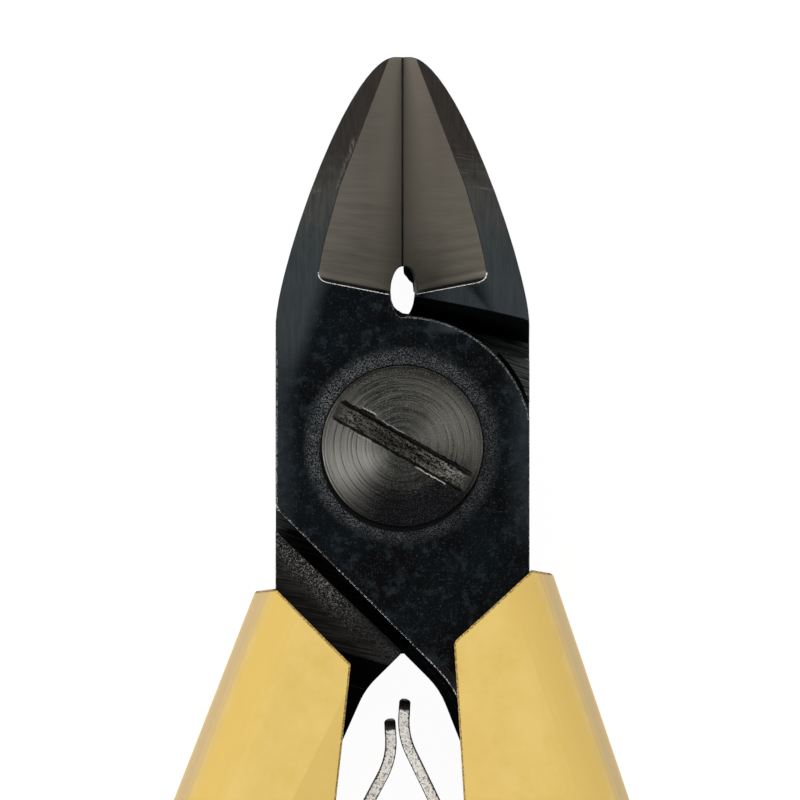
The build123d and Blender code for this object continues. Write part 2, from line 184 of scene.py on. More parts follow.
def new_object(name, data):
    """A new object in the scene."""
    made = bpy.data.objects.new(name, data)
    bpy.context.scene.collection.objects.link(made)
    return made


def surface(name, patches, material, sharp=30, values=None):
    """One closed mesh from grids of points: shared rims are merged and faces turned outwards.

    Values give a number to each point, by name and grid by grid.
    """
    faces, start = [], 0
    for patch in patches:
        faces.append(grid_faces(*patch.shape[:2], start))
        start += patch.shape[0] * patch.shape[1]
    points = np.concatenate([patch.reshape(-1, 3) for patch in patches]) * MM
    mesh = bpy.data.meshes.new(name)
    mesh.from_pydata(points, [], np.concatenate(faces))
    for key, grids in (values or {}).items():
        numbers = np.concatenate([grid.ravel() for grid in grids])
        mesh.attributes.new(key, "FLOAT", "POINT").data.foreach_set("value", numbers)
    work = bmesh.new()
    work.from_mesh(mesh)
    bmesh.ops.remove_doubles(work, verts=work.verts, dist=1e-6)
    bmesh.ops.dissolve_degenerate(work, dist=1e-8, edges=work.edges)
    # A sliver face that the merging drops leaves a hole of four edges
    bmesh.ops.holes_fill(work, edges=work.edges, sides=4)
    bmesh.ops.recalc_face_normals(work, faces=work.faces)
    work.to_mesh(mesh)
    work.free()
    mesh.shade_smooth()
    mesh.set_sharp_from_angle(angle=math.radians(sharp))
    mesh.materials.append(material)
    return new_object(name, mesh)


def turned_face(x, y):
    """Height of the screw's front face: a slight crown, turning grooves, deeper lines, a fallen rim."""
    r = np.hypot(x, y)
    draw = np.random.default_rng(11)
    rings = np.arange(0, MARKS_REACH, RING_PITCH)
    height = np.interp(r, rings, draw.uniform(-RING_DEPTH, 0.0, len(rings)))
    spans = np.arange(0, MARKS_REACH, 0.4)
    depth = np.interp(r, spans, draw.uniform(0.3, 1.0, len(spans)))
    height -= GROOVE_DEPTH * depth * (1 + np.cos(2 * np.pi * r / GROOVE_PITCH))
    for line in DEEP_LINES:
        height -= DEEP_LINE_DEPTH * np.exp(-(((r - line) / DEEP_LINE_WIDTH) ** 2))
    fallen = np.clip((r - SCREW_RADIUS + SCREW_RIM) / SCREW_RIM, 0, 1)
    return SCREW_TOP - LIP_ROOM + height - SCREW_CROWN * r**2 - RIM_FALL * fallen**2


def slot_edge(points):
    """Raises the torn lips along the slot, as bell curves, and makes its edges ragged."""
    x, y = points[..., 0], points[..., 1]
    upper = y > 0
    near = np.exp(-((np.abs(np.abs(y) - SLOT_HALF) / LIP_REACH) ** 2))
    near *= np.clip(SLOT_REACH - np.abs(x), 0, 0.3) / 0.3
    lip = np.zeros(x.shape)
    for edge, middle, half, share in LIPS:
        lip += share * np.exp(-(((x - middle) / half) ** 2)) * (upper if edge > 0 else ~upper)
    sway = hills(x, np.sign(y), 0.16, 5) * 0.022 + hills(x, np.sign(y), 0.7, 6) * 0.018
    points[..., 2] += LIP_HEIGHT * lip * near
    points[..., 1] += (sway + np.where(upper, 1, -1) * LIP_HEIGHT * lip) * near
    return points


def slot_columns():
    """Places along the slot for the grids' columns: even steps and even angles, none too close."""
    chord = math.sqrt(SCREW_RADIUS**2 - SLOT_HALF**2)
    even = np.linspace(-chord, chord, 111)
    angled = SLOT_HALF / np.tan(np.radians(np.arange(9.0, 171.5, 0.9)))
    along = np.unique(np.concatenate([even, angled]).round(5))
    along = along[np.concatenate([[True], np.diff(along) > 0.004])]
    along[-1] = chord
    return along


def slot_floor(along):
    """The slot's floor: the cutter's arc along the slot, straight across it, and roughened."""
    across = np.linspace(-SLOT_HALF, SLOT_HALF, 17)
    x, y = np.meshgrid(along, across, indexing="ij")
    for end, way in ((0, -1), (-1, 1)):
        x[end] = way * np.sqrt(SCREW_RADIUS**2 - across**2)
    rough = 0.035 * hills(x, y, 0.11, 21) + 0.03 * hills(x, y * 4, 0.45, 22)
    drop = SLOT_CUTTER - SLOT_DEPTH - np.sqrt(SLOT_CUTTER**2 - x**2)
    arc = SCREW_TOP + drop + rough * np.clip((SLOT_HALF - np.abs(y)) / 0.1, 0.3, 1)
    return np.stack([x, y, np.minimum(turned_face(x, y), arc)], axis=-1)


def slot_wall(foot, seed):
    """A wall of the slot, straight from the face down to the floor, with a slightly bulged skin."""
    lip = foot.copy()
    lip[:, 2] = turned_face(lip[:, 0], lip[:, 1])
    share = np.linspace(0, 1, 9)[:, None, None]
    wall = lip[None] * (1 - share) + foot[None] * share
    deep = np.clip(lip[:, 2] - foot[:, 2], 0, 0.3) / 0.3
    bulge = np.sin(np.pi * share[..., 0]) * 0.03 * deep
    wall[..., 1] += hills(wall[..., 0], wall[..., 2], 0.14, seed) * bulge
    return wall


def pivot_screw(material):
    """The slotted screw: two half faces on a polar grid, slot floor and walls, and a turned body.

    Each half face runs over angle and radius, where no radius is less than the slot's edge
    allows. The body is the face's rim, scaled to each corner of the profile.
    """
    along = slot_columns()
    angle = np.arctan2(SLOT_HALF, along)[::-1]
    radius = np.linspace(0, SCREW_RADIUS, 112)[1:]
    r = np.maximum(radius[:, None], SLOT_HALF / np.sin(angle)[None, :])
    x, y = r * np.cos(angle), r * np.sin(angle)
    height = turned_face(x, y)
    upper, lower = np.stack([x, y, height], axis=-1), np.stack([-x, -y, height], axis=-1)
    floor = slot_floor(along)
    walls = [slot_wall(floor[:, 0], 31), slot_wall(floor[:, -1], 30)]
    patches = [slot_edge(patch) for patch in (upper, lower, floor, *walls)]

    cos, sin = math.cos(SLOT_ANGLE), math.sin(SLOT_ANGLE)
    turn = np.array([[cos, sin, 0], [-sin, cos, 0], [0, 0, 1]])
    patches = [patch @ turn for patch in patches]
    upper, lower, floor = patches[:3]
    rim = np.concatenate([upper[-1], floor[0][::-1][1:-1], lower[-1], floor[-1][1:-1], upper[-1][:1]])
    body = [rim]
    for r, z in SCREW_PROFILE:
        row = rim * [r / SCREW_RADIUS, r / SCREW_RADIUS, 0]
        row[:, 2] = z
        body.append(row)
    return surface("pivot_screw", [*patches, np.stack(body)], material)


def screw_collar(material):
    """A low pitted ring on the plate round the screw head, over angle and radius."""
    angle = np.linspace(0, 2 * np.pi, 481)[None, :]
    share = np.linspace(0, 1, 34)[:, None]
    u, v = np.cos(angle), np.sin(angle)
    edge = COLLAR_OUTER + 0.10 * hills(u * 6, v * 6, 0.9, 41) + 0.07 * hills(u * 6, v * 6, 0.3, 42)
    r = COLLAR_INNER + share * (edge - COLLAR_INNER)
    x, y = r * u, r * v
    grain = 0.6 * hills(x, y, 0.13, 43) + 0.4 * hills(x, y, 0.27, 44)
    height = COLLAR_RISE * (1 + grain) * ease(share * 6) * ease((1 - share) * 2) - 0.003
    top = np.stack([x, y, PLATE_TOP + height], axis=-1)
    foot = top[[0, -1]].copy()
    foot[..., 2] = PLATE_TOP - COLLAR_SUNK
    return surface("screw_collar", [top, np.stack([top[-1], foot[1], foot[0], top[0]])], material, 60)


def corner_grease(material):
    """Old grease in the corner where the two steps meet: a low pad, flat under and crowned over.

    Along and across the step both run from -1 to 1, and the crown falls off with their fourth
    powers.
    """
    u, v = np.meshgrid(np.linspace(-1, 1, 25), np.linspace(-1, 1, 17), indexing="ij")
    run, across = GREASE_LENGTH / 2 * u, GREASE_WIDTH / 2 * v
    x = (run + across) / math.sqrt(2)
    y = GREASE_Y + (across - run) / math.sqrt(2)
    lumps = 1 + 0.3 * hills(x, y, 0.12, 61)
    top = np.stack([x, y, GREASE_BASE + GREASE_HEIGHT * (1 - u**4) * (1 - v**4) * lumps], axis=-1)
    foot = top[::-1].copy()
    foot[..., 2] = GREASE_BASE
    return surface("corner_grease", [top, foot], material)


def hole_shade(place, material):
    """A dark piece of painted shade between the relief hole's wall and the outline that it leaves open.

    Each point of the outline has its partner on an ellipse a little behind the wall, straight
    out from the hole's centre, and the section between the two is a plain rectangle.
    """
    corners, low, high = HOLE_SHADE[place]
    corners = np.array(corners)
    at = np.linspace(0, lengths(corners)[-1], 60)
    inner = points_at(corners, at)
    away = (inner - HOLE_CENTRE) / HOLE_HALVES
    away /= np.linalg.norm(away, axis=1)[:, None]
    outer = HOLE_CENTRE + away * (np.array(HOLE_HALVES) + SHADE_BEHIND)
    inner += away * 0.02 * hills(at, at * 0, 0.15, 71)[:, None]
    loop = [(outer, low), (outer, high), (inner, high), (inner, low), (outer, low)]
    body = np.stack([np.column_stack([line, np.full(len(at), z)]) for line, z in loop], axis=1)
    ends = [np.stack([[row[0], row[1]], [row[3], row[2]]]) for row in (body[0], body[-1])]
    return surface("hole_shade_" + place, [body, *ends], material)


def rounded_route(points, radii, step):
    """Evenly spaced points along straight runs that are joined by arcs at the corners."""
    points = [np.array(p, float) for p in points]
    line = [points[0][None]]
    for i, radius in enumerate(radii, start=1):
        before = (points[i] - points[i - 1]) / np.linalg.norm(points[i] - points[i - 1])
        after = (points[i + 1] - points[i]) / np.linalg.norm(points[i + 1] - points[i])
        cross = before[0] * after[1] - before[1] * after[0]
        bend = math.atan2(cross, before @ after)
        start = points[i] - before * radius * math.tan(abs(bend) / 2)
        side = np.array([-before[1], before[0]]) * math.copysign(radius, bend)
        a = np.linspace(0, bend, 60)[:, None]
        line.append(start + side - side * np.cos(a) + np.array([side[1], -side[0]]) * np.sin(a))
    line = np.concatenate([*line, points[-1][None]])
    whole = lengths(line)[-1]
    at = np.linspace(0, whole, int(whole / step) + 1)
    return at, points_at(line, at)


def strip_section():
    """The strip's section as a closed ring, thickness first: round corners and straight sides."""
    half_t, half_w = LEAF_THICKNESS / 2 - LEAF_CORNER, LEAF_WIDTH / 2 - LEAF_CORNER
    quarter = np.linspace(0, np.pi / 2, 4)
    corners = []
    for turn, (way_t, way_w) in enumerate(((1, 1), (-1, 1), (-1, -1), (1, -1))):
        a = quarter + turn * np.pi / 2
        t, w = way_t * half_t + LEAF_CORNER * np.cos(a), way_w * half_w + LEAF_CORNER * np.sin(a)
        corners.append(np.stack([t, w], axis=-1))
    ring = []
    for turn, corner in enumerate(corners):
        into = np.linspace(0, 1, 8 if turn % 2 else 6)[1:-1, None]
        ring += [corner, corner[-1] * (1 - into) + corners[(turn + 1) % 4][0] * into]
    return np.concatenate([*ring, corners[0][:1]])


def leaf_spring(side, material):
    """A leaf spring: a rounded strip section carried along its route, narrowed at the tip.

    The tip's corners are arcs across the width, and its nose an arc through the thickness. Only
    the outer twelfth of each half width, the sheared edge, is rough.
    """
    at, line = rounded_route(LEAF_ROUTES[side], LEAF_RADII, LEAF_STEP)
    run = np.gradient(line, axis=0)
    run /= np.linalg.norm(run, axis=1)[:, None]
    normal = np.stack([-run[:, 1], run[:, 0]], axis=-1)
    half_t, half_w = LEAF_THICKNESS / 2, LEAF_WIDTH / 2
    section = strip_section()
    across_t, across_w = section[None, :, 0], section[None, :, 1]
    back = np.clip(LEAF_TIP_RADIUS - at, 0, LEAF_TIP_RADIUS)
    width = 1 - (LEAF_TIP_RADIUS - np.sqrt(LEAF_TIP_RADIUS**2 - back**2)) / half_w
    away = 1 if side == "right" else -1
    swell = LEAF_SWELL * (1 - ease((at - SWELL_FULL) / SWELL_FADE))[:, None]
    swell = swell * np.clip(away * across_t / half_t, 0, 1)
    nose = np.sqrt(1 - (np.clip(NOSE - at, 0, NOSE) / NOSE_RADIUS) ** 2)[:, None]
    t = (across_t + away * swell) * nose
    w = across_w * width[:, None]
    flank = np.clip(np.abs(across_w) / half_w * 12 - 11, 0, 1)
    rough = 1 + 0.028 * hills(at[:, None] + 0 * t, t * 3 + w, 0.17, 51) * flank
    x = line[:, :1] + normal[:, :1] * t * rough
    y = line[:, 1:] + normal[:, 1:] * t * rough
    z = MID_Z + w - 0.012 * flank * (1 + hills(at[:, None], t * 2, 0.12, 52))
    tube = np.stack([x, y, z], axis=-1)
    ends = [np.stack([ring, ring * 0 + ring[:-1].mean(axis=0)]) for ring in (tube[0], tube[-1])]

    # For the material: length along the strip, and share of its half thickness
    grid, end = tube.shape[:2], ends[0].shape[:2]
    along = [np.broadcast_to(at[:, None], grid), np.zeros(end), np.full(end, at[-1])]
    across = [np.broadcast_to(across_t / half_t, grid), np.ones(end), np.ones(end)]
    values = {"along": along, "across": across}
    piece = surface(f"{side}_spring_leaf", [tube, *ends], material, 40, values)
    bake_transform(piece)
    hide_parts(f"{side}_leaf_spring")


# Materials


def paint(red, green, blue):
    """A colour as it shows on a screen, from 0 to 255, as Blender's own linear colour."""
    part = [c / 255 for c in (red, green, blue)]
    return (*[c / 12.92 if c <= 0.04045 else ((c + 0.055) / 1.055) ** 2.4 for c in part], 1.0)


class Wiring:
    """Adds nodes to a tree: a number or colour sets a socket, and a socket is joined to it."""

    def __init__(self, tree):
        self.tree = tree

    def node(self, kind, inputs=(), **settings):
        made = self.tree.nodes.new("ShaderNode" + kind)
        for key, value in settings.items():
            setattr(made, key, value)
        for key, value in inputs.items() if isinstance(inputs, dict) else enumerate(inputs):
            if isinstance(value, bpy.types.NodeSocket):
                self.tree.links.new(value, made.inputs[key])
            elif value is not None:
                made.inputs[key].default_value = value
        return made

    def math(self, operation, *values):
        return self.node("Math", values, operation=operation).outputs[0]

    def add(self, *values):
        return self.chain("ADD", values)

    def times(self, *values):
        return self.chain("MULTIPLY", values)

    def most(self, *values):
        return self.chain("MAXIMUM", values)

    def chain(self, operation, values):
        total = values[0]
        for value in values[1:]:
            total = self.math(operation, total, value)
        return total

    def scaled(self, value, factor, offset=0.0):
        return self.math("MULTIPLY_ADD", value, factor, offset)

    def rest(self, value):
        """What is left of 1."""
        return self.scaled(value, -1.0, 1.0)

    def join(self, x, y, z):
        return self.node("CombineXYZ", (x, y, z)).outputs[0]

    def parts(self, vector):
        return self.node("SeparateXYZ", (vector,)).outputs[:3]

    def colour(self, share, under, over):
        made = self.node("Mix", {0: share, 6: under, 7: over}, data_type="RGBA")
        return made.outputs[2]

    def lay(self, under, over, *masks):
        """Lays a colour over another by the product of its masks."""
        return self.colour(self.times(*masks), under, over)

    def fade(self, value, low, high, start=0.0, end=1.0, soft=False):
        """Start at the value low, end at high and beyond, even where high is the smaller."""
        kind = "SMOOTHSTEP" if soft else "LINEAR"
        made = self.node("MapRange", (value, low, high, start, end), interpolation_type=kind)
        return made.outputs[0]

    def window(self, value, low, high, soft=0.1):
        """1 between two values, fading to 0 over a soft edge outside each."""
        rise = self.fade(value, low - soft, low)
        return self.times(rise, self.fade(value, high + soft, high))

    def noise(self, place, size, detail=2.0, roughness=0.5):
        inputs = {"Vector": place, "Scale": 1 / size, "Detail": detail, "Roughness": roughness}
        return self.node("TexNoise", inputs).outputs[0]

    def place(self):
        """Object coordinates in millimetres."""
        spot = self.node("TexCoord").outputs["Object"]
        made = self.node("VectorMath", {0: spot, "Scale": 1 / MM}, operation="SCALE")
        return made.outputs[0]

    def tilt(self):
        """How far a face is turned up or down: 1 lies flat, 0 stands upright."""
        return self.math("ABSOLUTE", self.parts(self.node("NewGeometry").outputs["True Normal"])[2])

    def toward(self, x, y, radius, way):
        """On which side of the axis a point lies: 1 that way, 0 beside it, -1 behind."""
        return self.math("DIVIDE", self.scaled(x, way[0], self.times(y, way[1])), radius)


def group(name, inputs, build):
    """A shared effect as a node group: named inputs with their values, and one mask put out."""
    tree = bpy.data.node_groups.new(name, "ShaderNodeTree")
    for key, value in inputs.items():
        kind = "NodeSocketVector" if value is None else "NodeSocketFloat"
        socket = tree.interface.new_socket(key, in_out="INPUT", socket_type=kind)
        if value is not None:
            socket.default_value = value
    tree.interface.new_socket("Mask", in_out="OUTPUT", socket_type="NodeSocketFloat")
    entry = tree.nodes.new("NodeGroupInput").outputs
    result = tree.nodes.new("NodeGroupOutput").inputs
    tree.links.new(build(Wiring(tree), {key: entry[key] for key in inputs}), result[0])
    return tree


def grain(w, at):
    """Specks of one size, from clear to solid between two levels of a fine noise."""
    size = w.join(at["Size"], at["Size"], at["Size"])
    near = w.node("VectorMath", (at["Place"], size), operation="DIVIDE").outputs[0]
    level = w.noise(near, 1.0, 3.0, 0.6)
    return w.fade(level, at["Low"], at["High"])


def lines(w, at):
    """Fine tool lines: a noise stretched along X and packed close along Y."""
    x, y, z = w.parts(at["Place"])
    thin = w.join(w.math("DIVIDE", x, at["Length"]), w.math("DIVIDE", y, at["Pitch"]), z)
    level = w.noise(thin, 1.0, 4.0, 0.65)
    return w.fade(level, at["Low"], at["High"])


def wear(w, at):
    """Flecks of bare steel, from few and short to nearly unbroken as the amount goes from 0 to 1."""
    level = w.scaled(at["Bare"], 0.22, w.noise(at["Place"], 0.11, 3.0, 0.7))
    return w.fade(level, 0.58, 0.68)


GRAIN = group("grain", {"Place": None, "Size": 0.15, "Low": 0.5, "High": 0.7}, grain)
WEAR = group("edge_wear", {"Place": None, "Bare": 0.5}, wear)
LINES = group("tool_lines", {"Place": None, "Length": 3.0, "Pitch": 0.1, "Low": 0.4, "High": 0.6}, lines)


def use(w, tree, place, **values):
    """Places a shared group in a material with its own values."""
    return w.node("Group", {"Place": place, **values}, node_tree=tree).outputs[0]


def finish_of(build):
    """A new material, named as the function that gives its Principled BSDF's sockets by name."""
    material = bpy.data.materials.new(build.__name__)
    material.use_nodes = True
    material.node_tree.nodes.clear()
    w = Wiring(material.node_tree)
    shader = w.node("BsdfPrincipled", build(w))
    w.node("OutputMaterial", (shader.outputs[0],))
    return material


def bumped(w, *layers):
    """A normal from several heights, each with its depth in millimetres."""
    normal = None
    for height, depth in layers:
        inputs = {"Strength": 1.0, "Distance": depth * MM, "Height": height}
        if normal is not None:
            inputs["Normal"] = normal
        normal = w.node("Bump", inputs).outputs[0]
    return normal


# The masks of the halves' steel come from a point's place and from its face's tilt: 1.0 on the
# plates, 0.84 on the jaws' shoulders, 0.77 on their outer bevels, 0.64 on the ground facets,
# 0.71 on the plate's broken edge and 0.86 on the right tang's bevel.


def head_spots(w):
    """A point's place on the head, its distance out from the middle and from the axis."""
    place = w.place()
    x, y, z = w.parts(place)
    out = w.math("ABSOLUTE", x)
    radius = w.math("SQRT", w.add(w.times(x, x), w.times(y, y)))
    return SimpleNamespace(place=place, x=x, y=y, z=z, out=out, radius=radius)


def slanted(w, at, slope):
    """A place whose tool lines fall to the right by a slope."""
    return w.join(at.x, w.scaled(at.x, slope, at.y), at.z)


def plate_oxide(w, at, clouds, haze, specks):
    """Black oxide of the plates: blue-black clouds, hazy smudges, fine scratches and specks."""
    colour = w.colour(w.fade(clouds, 0.40, 0.62), paint(0, 0, 1), paint(6, 12, 16))
    colour = w.colour(w.fade(haze, 0.52, 0.66, 0.0, 0.7), colour, paint(30, 38, 42))
    # Rubbed margins down the head's sides
    margin = w.times(w.fade(at.out, 6.3, 7.9, soft=True), w.fade(at.y, -7.5, -3.0, soft=True))
    colour = w.lay(colour, paint(40, 46, 50), margin, w.fade(haze, 0.3, 0.6, 0.35, 0.8))
    scratches = use(w, LINES, at.upright, Length=1.6, Pitch=0.09, Low=0.62, High=0.76)
    colour = w.lay(colour, paint(66, 75, 82), scratches, 0.45)
    return w.lay(colour, paint(74, 82, 88), specks, 0.55)


def pressed_ring(w, at, colour, haze, pits):
    """Pitted ring that the screw head has pressed into the plate, worn most on its upper left, with the
    head's painted shadow beside it.
    """
    wander = w.scaled(w.noise(at.place, 0.22, 3.0, 0.7), 0.9, w.scaled(at.radius, 1.0, -0.45))
    ring = w.times(w.fade(wander, 6.35, 5.75), w.fade(at.z, 7.7, 7.9), w.fade(at.radius, 4.9, 5.0))
    worn = w.fade(w.toward(at.x, at.y, at.radius, (-0.8, 0.6)), -1.0, 1.0, 0.40, 1.0)
    worn = w.times(worn, w.fade(haze, 0.36, 0.60, 1.1, 0.6))
    worn = w.times(w.fade(pits, 0.47, 0.60), worn)
    colour = w.colour(ring, colour, w.colour(worn, paint(7, 9, 11), paint(98, 101, 102)))
    # Painted shadow of the screw head on the plate beside it, widest below it
    shadow_side = w.most(w.toward(at.x, at.y, at.radius, (-0.26, -0.966)), 0.0)
    past = w.scaled(at.radius, 1.0, w.scaled(shadow_side, -0.30, -5.09))
    return w.lay(colour, paint(3, 3, 4), w.fade(past, 0.10, 0.0), ring), ring


def jaw_shoulders(w, at, colour, haze, streaks):
    """Shoulders of the jaws, a smooth blue grey, with a painted sheen that fades it into the oxide in
    place of a rounded edge.
    """
    slope = w.fade(at.tilt, 0.995, 0.90, soft=True)
    # Painted sheen by the outer edge, standing in for a rounded edge that catches the light
    side = w.fade(w.scaled(at.y, 0.30, at.out), 7.4, 8.8, soft=True)
    side = w.times(side, w.fade(at.y, 1.5, 7.0, soft=True))
    over = w.times(w.fade(at.y, 7.0, 7.3), w.fade(at.x, 1.3, 3.0, 0.0, 0.8), w.fade(at.z, 7.9, 7.95))
    ground_and_sheen = w.times(w.most(slope, side, over), w.fade(at.y, 1.5, 6.5, soft=True))
    ground_and_sheen = w.times(ground_and_sheen, w.fade(at.z, 2.0, 3.0))
    lower = w.colour(streaks, paint(42, 47, 49), paint(55, 60, 62))
    upper = w.colour(streaks, paint(48, 49, 48), paint(70, 70, 68))
    smooth = w.colour(w.fade(w.scaled(haze, 5.0, at.y), 14.5, 17.5), lower, upper)
    return w.colour(ground_and_sheen, colour, smooth)


def outer_bevels(w, at, colour, haze, streaks, drawn):
    """Outer bevels, brown black, with milling lines on the right and scuffs on the left."""
    dark = w.colour(drawn, paint(37, 33, 31), paint(52, 48, 45))
    lower = w.colour(streaks, paint(50, 50, 48), paint(74, 73, 69))
    dark = w.colour(w.fade(w.scaled(haze, 5.0, at.y), 21.0, 18.2, 0.0, 0.95), dark, lower)
    milled = use(w, LINES, slanted(w, at, 0.17), Length=4.5, Pitch=0.15, Low=0.54, High=0.66)
    milled = w.times(milled, at.right, w.window(at.y, 14.9, 18.4, 0.8))
    dark = w.lay(dark, paint(96, 91, 86), milled, 0.5)
    # Scuffs on a strip along the facet and on a spot below it, and one dark scratch
    past = w.scaled(at.y, 0.35, w.scaled(at.x, -1.0, -9.69))
    strip = w.times(w.window(past, -0.1, 0.16, 0.20), w.window(at.y, 16.2, 19.2, 0.5))
    spot = w.times(w.window(at.y, 14.4, 16.0, 0.5), w.window(at.x, -6.2, -5.3, 0.3))
    rubs = use(w, LINES, at.upright, Length=0.4, Pitch=0.09, Low=0.46, High=0.62)
    scuff = w.times(w.most(strip, w.times(spot, 0.8)), rubs, at.left)
    dark = w.lay(dark, paint(120, 117, 112), scuff, 0.5)
    scratch = w.math("ABSOLUTE", w.scaled(at.x, -0.18, w.scaled(at.y, 1.0, -16.5)))
    scratch = w.times(w.fade(scratch, 0.09, 0.03), w.window(at.x, -6.1, -4.3, 0.2))
    dark = w.lay(dark, paint(18, 17, 17), scratch, 0.8)
    bevel = w.times(w.fade(at.tilt, 0.80, 0.79), w.fade(at.y, 8.9, 9.1))
    return w.colour(bevel, colour, dark), bevel


def ground_facets(w, at, colour):
    """Ground facets, brown grey, with painted light along their lower edge and beside the cutting edges.

    Their grinding lines fan out, from level at the tip to the slope of the lower edge.
    """
    fan = w.scaled(w.times(at.out, w.fade(at.y, 10.0, 17.0, 0.19, 0.04)), -1.0, at.y)
    ground = w.join(at.x, fan, w.math("SIGN", at.x))
    fine = use(w, LINES, ground, Length=2.2, Pitch=0.10, Low=0.30, High=0.72)
    coarse = use(w, LINES, ground, Length=3.6, Pitch=0.42, Low=0.40, High=0.70)
    steel = w.colour(w.fade(at.y, 9.5, 20.0), paint(102, 99, 89), paint(100, 93, 85))
    paler = w.times(at.left, w.fade(at.y, 20.0, 16.0, 0.4, 1.0))
    steel = w.colour(paler, steel, paint(115, 111, 102))
    steel = w.lay(steel, paint(130, 126, 115), fine, w.fade(at.y, 9.5, 18.0, 0.40, 0.22))
    steel = w.lay(steel, paint(78, 75, 67), coarse, w.fade(at.y, 12.0, 18.0, 0.55, 0.2))
    foot = w.scaled(at.out, -0.19, at.y)
    # Painted highlight in a band along the lower edge
    band = w.window(foot, 9.85, 10.0, 0.10)
    steel = w.lay(steel, paint(140, 134, 122), band, 0.35)
    steel = w.lay(steel, paint(64, 60, 53), w.fade(foot, 9.80, 9.60), 0.5)
    # Painted light beside the cutting edges, lifting the shade in the V between the facets
    steel = w.colour(w.fade(at.out, 2.2, 0.1, 0.0, 0.45), steel, paint(144, 138, 126))
    facet = w.times(w.window(at.tilt, 0.50, 0.71, 0.01), w.fade(at.y, 9.0, 9.2))
    return w.colour(facet, colour, steel), facet, fine


def jaw_walls(w, at, colour):
    """Sides of the jaws and of the relief hole in painted shade, darkest by the hole, and a painted line
    of shade where the cutting edges meet.
    """
    wall = w.times(w.fade(at.tilt, 0.46, 0.44), w.fade(at.y, 8.7, 8.9))
    dark = w.colour(w.fade(at.out, 1.4, 2.0), paint(4, 4, 4), paint(24, 23, 23))
    colour = w.colour(wall, colour, dark)
    # Painted shade in the narrow V where the cutting edges meet
    meeting_shade = w.times(w.fade(at.out, 0.075, 0.05), w.fade(at.y, 9.9, 10.0))
    return w.colour(meeting_shade, colour, paint(22, 19, 16))


def painted_black_shade(w, at, colour, low_wall, specks):
    """Painted shade, near black, in the recess, the trench, down the walls, behind the ramp and low on
    the right tang.
    """
    tang_bevel = w.times(w.window(at.tilt, 0.83, 0.88, 0.01), w.fade(at.y, -11.5, -11.7))
    tang_bevel = w.times(tang_bevel, w.fade(at.z, 7.0, 7.2))
    # Height over the line on the right tang's bevel where the painted shade begins
    above = w.math("SUBTRACT", at.z, w.fade(at.y, -14.5, -18.5, 7.70, 7.80))
    behind_ramp = w.times(w.fade(at.tilt, 0.9, 0.95), w.fade(at.y, -11.0, -11.4))
    behind_ramp = w.times(behind_ramp, w.window(at.z, 4.9, 5.9))
    recess = w.times(w.window(at.y, 7.2, 9.4), w.fade(at.z, 7.9, 7.8), at.right)
    recess = w.times(recess, w.fade(at.tilt, 0.5, 0.4))
    black = w.most(low_wall, w.times(tang_bevel, w.fade(above, 0.01, 0.0)), behind_ramp, recess)
    colour = w.lay(colour, paint(3, 4, 5), black, 0.97)
    # Painted highlight along the middle of the tang's bevel
    middle = w.times(w.window(above, -0.24, -0.16, 0.03), w.fade(specks, 0.0, 0.6), tang_bevel)
    colour = w.lay(colour, paint(60, 62, 62), middle, 0.6)
    crest = w.times(w.window(above, 0.0, 0.03, 0.01), tang_bevel, use(w, WEAR, at.place, Bare=0.6))
    return w.colour(crest, colour, paint(190, 191, 190)), black


def broken_edge(w, at, colour):
    """Bare steel along the broken edge of the plate."""
    broken = w.times(w.window(at.tilt, 0.69, 0.73, 0.01), w.fade(at.z, 7.85, 7.9))
    broken = w.times(broken, w.fade(at.y, 8.4, 8.3))
    bare = use(w, WEAR, at.place, Bare=w.fade(at.y, 0.0, 3.0, 0.60, 0.45))
    shine = w.colour(w.fade(at.y, 0.0, 3.0), paint(226, 227, 226), paint(116, 119, 120))
    return w.colour(w.times(broken, bare), colour, shine)


def lap_face(w, at, colour):
    """Lap face and the strip beside the plate's arc, scored level by the other half as it turns."""
    beside = w.times(w.fade(at.radius, 8.32, 8.38), w.window(at.y, 1.0, 6.8))
    beside = w.times(beside, w.fade(at.z, 7.9, 7.95), at.right)
    lap = w.times(w.most(w.window(at.z, 3.6, 4.3), beside), w.fade(at.tilt, 0.98, 0.99))
    scored = use(w, LINES, slanted(w, at, 0.35), Length=2.5, Pitch=0.13, Low=0.42, High=0.60)
    return w.colour(lap, colour, w.colour(scored, paint(15, 17, 18), paint(62, 65, 64)))


def left_tang(w, at, colour, black, low_wall, sparkle, cut):
    """Left tang, forged and grainy by its step, milled below, with a painted light patch on the step's
    wall.
    """
    below = w.scaled(w.add(at.x, at.y), -1.0, -13.2)
    under_head = w.fade(at.y, -3.0, -3.5)
    tang = w.times(w.fade(below, 0.0, 0.1), w.fade(at.x, 0.3, 0.1), under_head)
    near = w.times(w.fade(below, 2.4, 0.8), w.fade(at.x, -2.4, -4.6, 0.22, 1.0))
    forged = w.colour(w.times(sparkle, near), paint(6, 6, 6), paint(138, 136, 132))
    forged = w.lay(forged, paint(50, 49, 47), cut, w.rest(near), 0.7)
    colour = w.colour(w.times(tang, w.rest(black)), colour, forged)
    lit = w.times(w.fade(at.x, -6.4, -7.8), w.window(below, -2.0, -0.7, 0.2), under_head, low_wall)
    return w.lay(colour, paint(84, 85, 83), lit, 0.9), tang


